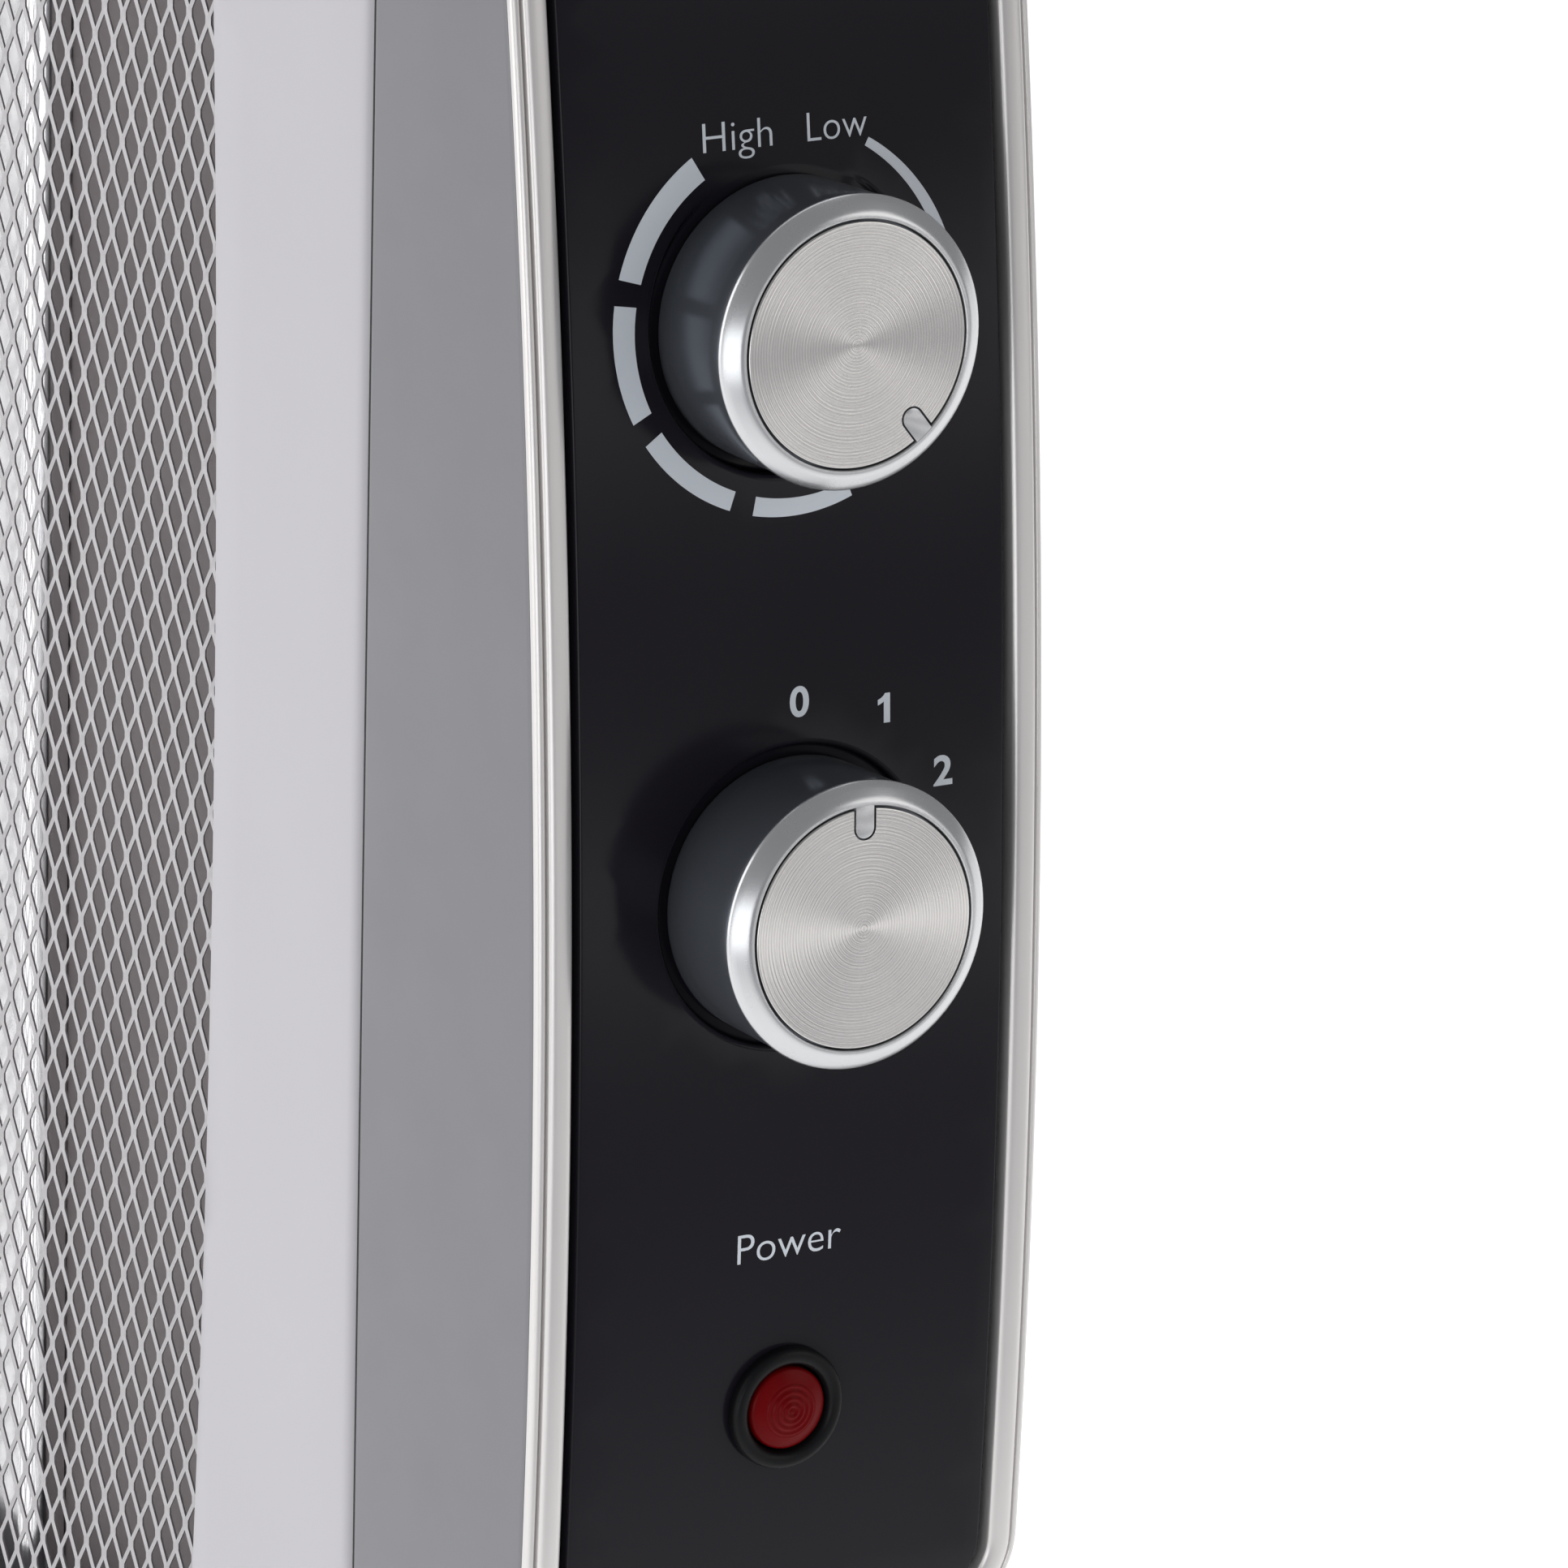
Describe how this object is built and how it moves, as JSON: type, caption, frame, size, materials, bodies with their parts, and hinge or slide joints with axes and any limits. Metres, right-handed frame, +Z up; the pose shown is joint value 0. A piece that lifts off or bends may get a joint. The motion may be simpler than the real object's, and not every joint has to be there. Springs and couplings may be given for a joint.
{
  "type": "mica panel convection heater",
  "caption": "Slim upright room heater: mesh grilles over a mica heating panel, thermostat and power knobs on a bowed end, top handle, swivel casters.",
  "frame": {"origin": "centre of the bounding box at floor level, under the casters", "axes": "+X along the heater towards the controls, -Y towards the front grille, +Z up"},
  "size_m": [0.64, 0.236, 0.568],
  "materials": {
    "casing_paint": "satin powder coat",
    "cap_plastic": "fine satin moulding",
    "bezel": "satin silver",
    "fascia_gloss": "satin black",
    "mesh_steel": "satin silver",
    "mica": "matt board",
    "aluminium": "bright embossed",
    "knob_dark": "satin",
    "knob_ring": "satin plated",
    "knob_disc": "turned rings",
    "lamp_red": "clear red",
    "black_plastic": "satin",
    "zinc_steel": "zinc plated",
    "ceramic": "matt",
    "rubber": "matt"
  },
  "bodies": {
    "heater": {"front_casing": "casing_paint", "rear_casing": "casing_paint", "top_grille": "black_plastic", "bottom_grille": "black_plastic", "front_mesh": "mesh_steel", "rear_mesh": "mesh_steel", "mica_board_front": "mica", "mica_board_rear": "mica", "radiant_plate_front": "aluminium", "radiant_plate_rear": "aluminium", "element_rail_lower": "zinc_steel", "element_rail_upper": "zinc_steel", "end_cap_right": "cap_plastic", "end_cap_left": "cap_plastic", "bezel_right": "bezel", "bezel_left": "bezel", "fascia_panel": "fascia_gloss", "end_panel_left": "fascia_gloss", "lamp_bezel": "black_plastic", "lamp_lens": "lamp_red", "thermostat_control": "ceramic", "power_control": "ceramic", "control_bracket": "zinc_steel", "terminal_block": "ceramic", "tip_over_switch": "black_plastic", "thermal_cutout": "ceramic", "cord_gland": "rubber", "carry_handle": "black_plastic", "foot_bar_left": "black_plastic", "foot_bar_right": "black_plastic"},
    "thermostat_knob": {"knob_thermostat_skirt": "knob_dark", "knob_thermostat_ring": "knob_ring", "knob_thermostat_disc": "knob_disc", "thermostat_shaft": "zinc_steel"},
    "power_knob": {"knob_power_skirt": "knob_dark", "knob_power_ring": "knob_ring", "knob_power_disc": "knob_disc", "power_shaft": "zinc_steel"},
    "caster_front_left": {"caster_fork_front_left": "zinc_steel", "caster_axle_front_left": "zinc_steel"},
    "wheel_front_left": {"caster_wheel_front_left": "rubber"},
    "caster_rear_left": {"caster_fork_rear_left": "zinc_steel", "caster_axle_rear_left": "zinc_steel"},
    "wheel_rear_left": {"caster_wheel_rear_left": "rubber"},
    "caster_front_right": {"caster_fork_front_right": "zinc_steel", "caster_axle_front_right": "zinc_steel"},
    "wheel_front_right": {"caster_wheel_front_right": "rubber"},
    "caster_rear_right": {"caster_fork_rear_right": "zinc_steel", "caster_axle_rear_right": "zinc_steel"},
    "wheel_rear_right": {"caster_wheel_rear_right": "rubber"}
  },
  "joints": [
    {"name": "thermostat_turn", "type": "hinge", "parent": "heater", "child": "thermostat_knob", "pos_m": [0.29355, 0, 0.3645], "axis": [-0.9994, 0, -0.0349], "range_deg": [-117, 193]},
    {"name": "power_turn", "type": "hinge", "parent": "heater", "child": "power_knob", "pos_m": [0.29988, 0, 0.28], "axis": [-0.9994, 0, -0.0349], "range_deg": [0, 60]},
    {"name": "caster_swivel_front_left", "type": "hinge", "parent": "heater", "child": "caster_front_left", "pos_m": [-0.2141, -0.102, 0.043], "axis": [0, 0, 1], "continuous": true},
    {"name": "wheel_spin_front_left", "type": "hinge", "parent": "caster_front_left", "child": "wheel_front_left", "pos_m": [-0.2281, -0.102, 0.018], "axis": [0, 1, 0], "continuous": true},
    {"name": "caster_swivel_rear_left", "type": "hinge", "parent": "heater", "child": "caster_rear_left", "pos_m": [-0.2141, 0.102, 0.043], "axis": [0, 0, 1], "continuous": true},
    {"name": "wheel_spin_rear_left", "type": "hinge", "parent": "caster_rear_left", "child": "wheel_rear_left", "pos_m": [-0.2281, 0.102, 0.018], "axis": [0, 1, 0], "continuous": true},
    {"name": "caster_swivel_front_right", "type": "hinge", "parent": "heater", "child": "caster_front_right", "pos_m": [0.1959, -0.102, 0.043], "axis": [0, 0, 1], "continuous": true},
    {"name": "wheel_spin_front_right", "type": "hinge", "parent": "caster_front_right", "child": "wheel_front_right", "pos_m": [0.2099, -0.102, 0.018], "axis": [0, 1, 0], "continuous": true},
    {"name": "caster_swivel_rear_right", "type": "hinge", "parent": "heater", "child": "caster_rear_right", "pos_m": [0.1959, 0.102, 0.043], "axis": [0, 0, 1], "continuous": true},
    {"name": "wheel_spin_rear_right", "type": "hinge", "parent": "caster_rear_right", "child": "wheel_rear_right", "pos_m": [0.2099, 0.102, 0.018], "axis": [0, 1, 0], "continuous": true}
  ]
}
